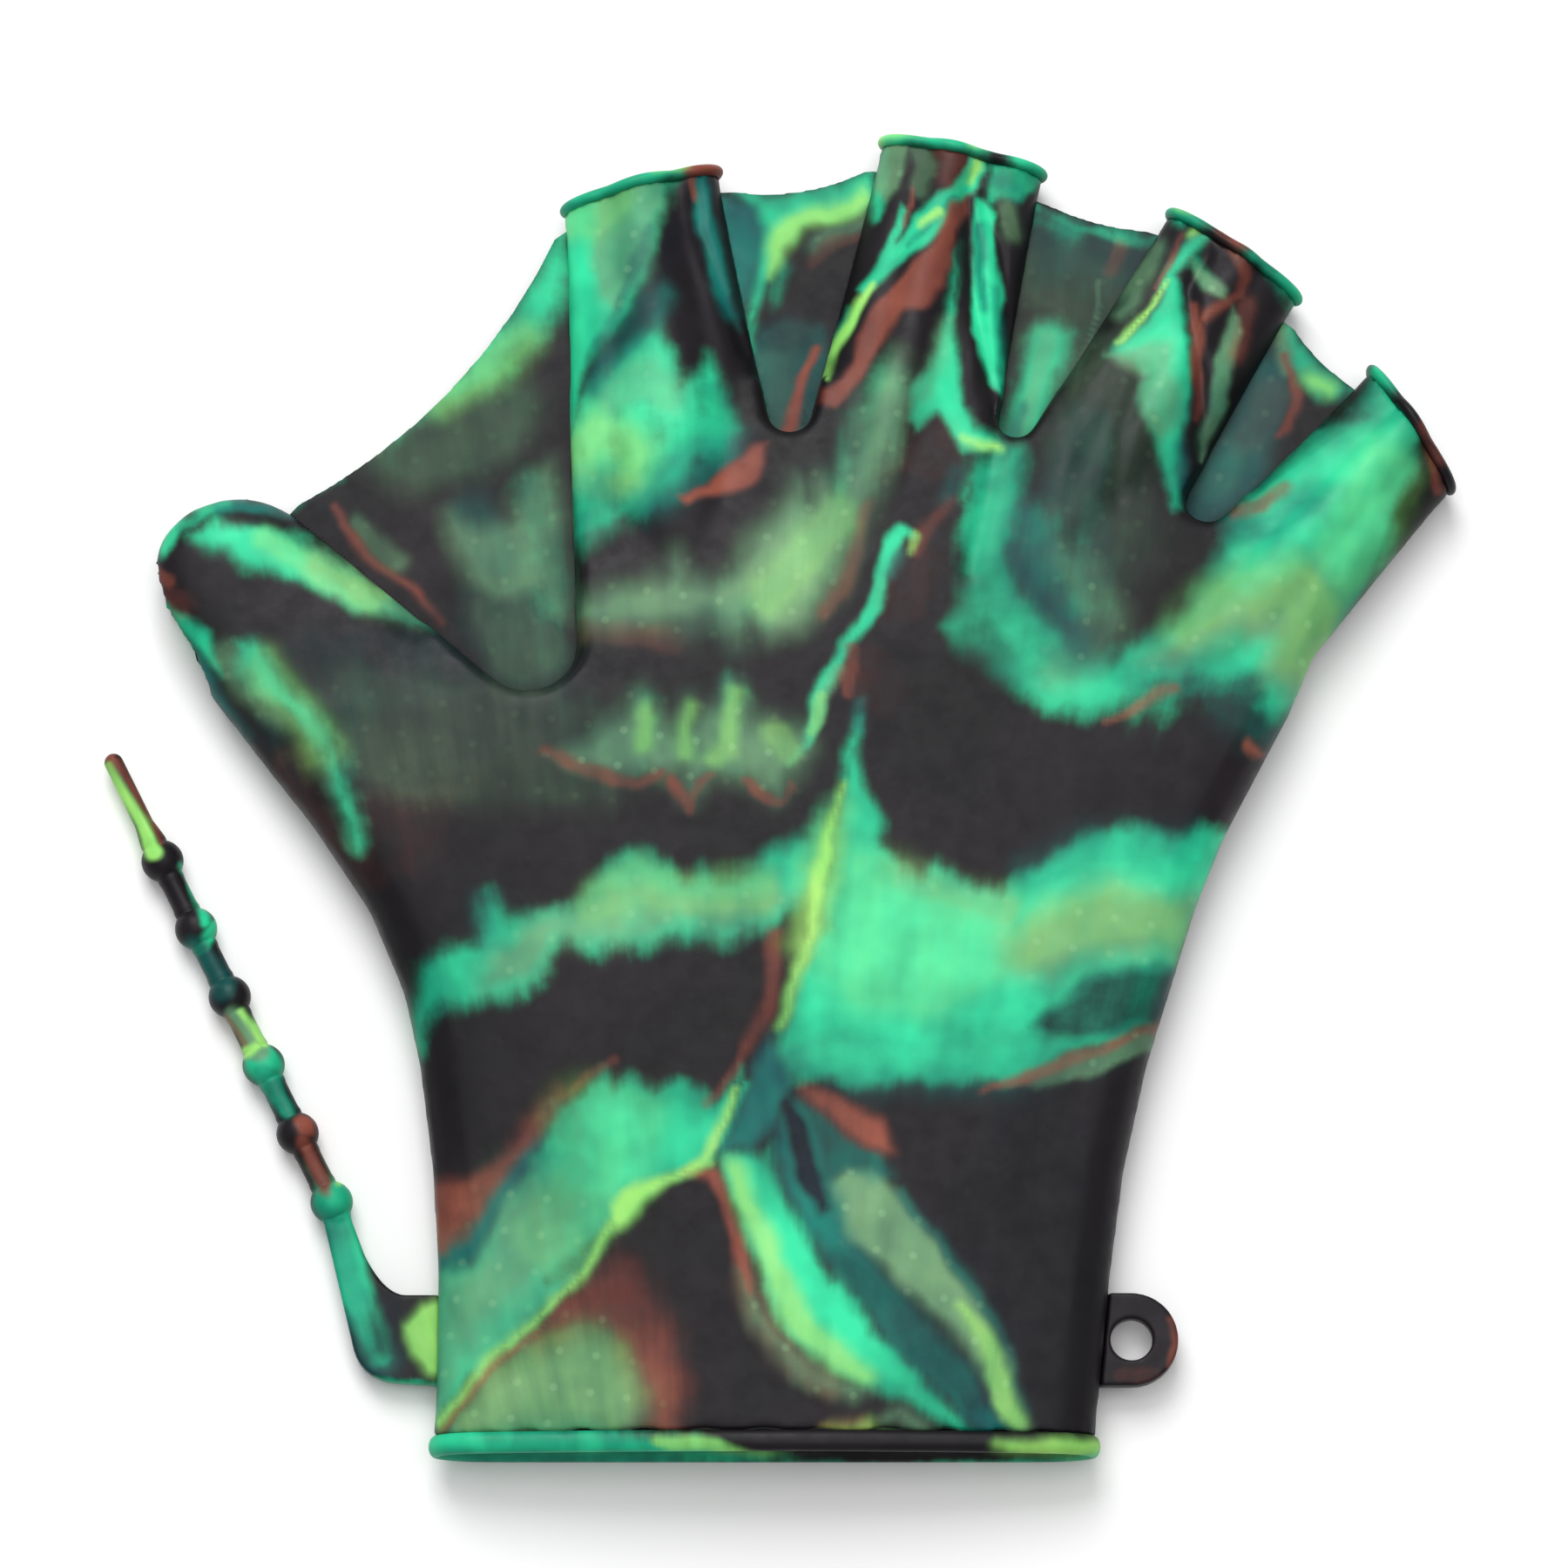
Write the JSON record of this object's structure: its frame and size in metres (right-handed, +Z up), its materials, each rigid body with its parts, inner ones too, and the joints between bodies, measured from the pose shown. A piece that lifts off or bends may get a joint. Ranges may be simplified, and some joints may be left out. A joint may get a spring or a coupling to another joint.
{
  "type": "webbed swim glove",
  "caption": "Marbled silicone swim glove with flat webs between open-ended fingers, rolled rims, and a beaded wrist strap that pulls through a round-holed tab.",
  "frame": {"origin": "middle of the lying glove's bounding box, on the surface under it", "axes": "+Y from the wrist opening to the fingertips, +X from the thumb's side to the little finger's side, +Z up from the surface"},
  "size_m": [0.209, 0.2084, 0.0165],
  "materials": {
    "hand_silicone": "satin moulded silicone, marbled in charcoal, emerald, lime, olive and rust",
    "web_silicone": "satin moulded silicone, marbled, mostly charcoal and grey-green",
    "rim_silicone": "satin moulded silicone bead, dark with green stretches",
    "strap_silicone": "satin moulded silicone, black, teal, lime and rust along its length"
  },
  "bodies": {
    "root": {"hand_shell": "hand_silicone", "web_thumb_index": "web_silicone", "web_index_middle": "web_silicone", "web_middle_ring": "web_silicone", "web_ring_pinky": "web_silicone", "cuff_rim": "rim_silicone", "rim_index": "rim_silicone", "rim_middle": "rim_silicone", "rim_ring": "rim_silicone", "rim_pinky": "rim_silicone", "wrist_strap": "strap_silicone", "strap_loop": "strap_silicone"}
  },
  "joints": []
}
